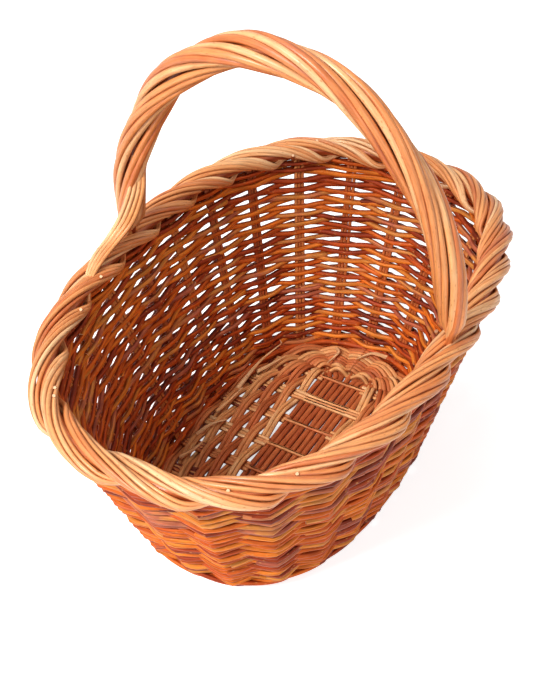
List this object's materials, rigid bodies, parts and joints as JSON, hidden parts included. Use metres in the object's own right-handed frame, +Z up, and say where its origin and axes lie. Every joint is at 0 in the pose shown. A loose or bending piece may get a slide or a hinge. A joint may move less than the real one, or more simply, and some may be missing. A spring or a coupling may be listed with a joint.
{
  "type": "foraging basket",
  "caption": "Oval foraging basket woven from willow rods, with a flared wall, a plaited border and a fixed twisted bow handle over its short axis",
  "frame": {"origin": "on the ground under the middle of the oval", "axes": "+X along the long axis of the oval, +Y along the short axis from one handle foot to the other, +Z up"},
  "size_m": [0.4242, 0.3008, 0.3776],
  "materials": {
    "bark_brown": "satin, red-brown unpeeled rods",
    "bark_mixed": "satin, mixed orange, ochre, red-brown and mauve unpeeled rods",
    "bark_red": "satin, orange to red rod",
    "stick_pink": "satin, pinkish-brown rods",
    "stick_pale": "matte, pale rods",
    "peeled_buff": "satin, peeled golden buff rods"
  },
  "bodies": {
    "root": {"base_cross_stick_1": "stick_pale", "base_cross_stick_2": "stick_pale", "base_cross_stick_3": "stick_pale", "base_cross_stick_4": "stick_pale", "base_cross_stick_5": "stick_pale", "base_cross_stick_6": "stick_pale", "base_cross_stick_7": "stick_pale", "base_long_stick_1": "bark_brown", "base_long_stick_2": "bark_brown", "base_long_stick_3": "bark_brown", "base_long_stick_4": "bark_brown", "base_long_stick_5": "bark_brown", "base_long_stick_6": "bark_brown", "base_long_stick_7": "bark_brown", "base_weaver_a": "stick_pink", "base_weaver_b": "stick_pink", "border_strand_1": "peeled_buff", "border_strand_2": "peeled_buff", "border_strand_3": "peeled_buff", "foot_ring": "bark_red", "handle_core": "peeled_buff", "handle_wrap_1": "peeled_buff", "handle_wrap_2": "peeled_buff", "handle_wrap_3": "peeled_buff", "handle_wrap_4": "peeled_buff", "handle_wrap_5": "peeled_buff", "handle_wrap_6": "peeled_buff", "siding_a_1": "bark_mixed", "siding_a_2": "bark_mixed", "siding_b_1": "bark_mixed", "siding_b_2": "bark_mixed", "stake_pair_01": "bark_brown", "stake_pair_02": "bark_brown", "stake_pair_03": "bark_brown", "stake_pair_04": "bark_brown", "stake_pair_05": "bark_brown", "stake_pair_06": "bark_brown", "stake_pair_07": "bark_brown", "stake_pair_08": "bark_brown", "stake_pair_09": "bark_brown", "stake_pair_10": "bark_brown", "stake_pair_11": "bark_brown", "stake_pair_12": "bark_brown", "stake_pair_13": "bark_brown", "stake_pair_14": "bark_brown", "stake_pair_15": "bark_brown", "stake_pair_16": "bark_brown", "stake_pair_17": "bark_brown", "stake_pair_18": "bark_brown", "stake_pair_19": "bark_brown", "stake_pair_20": "bark_brown", "stake_pair_21": "bark_brown", "stake_pair_22": "bark_brown"}
  },
  "joints": []
}
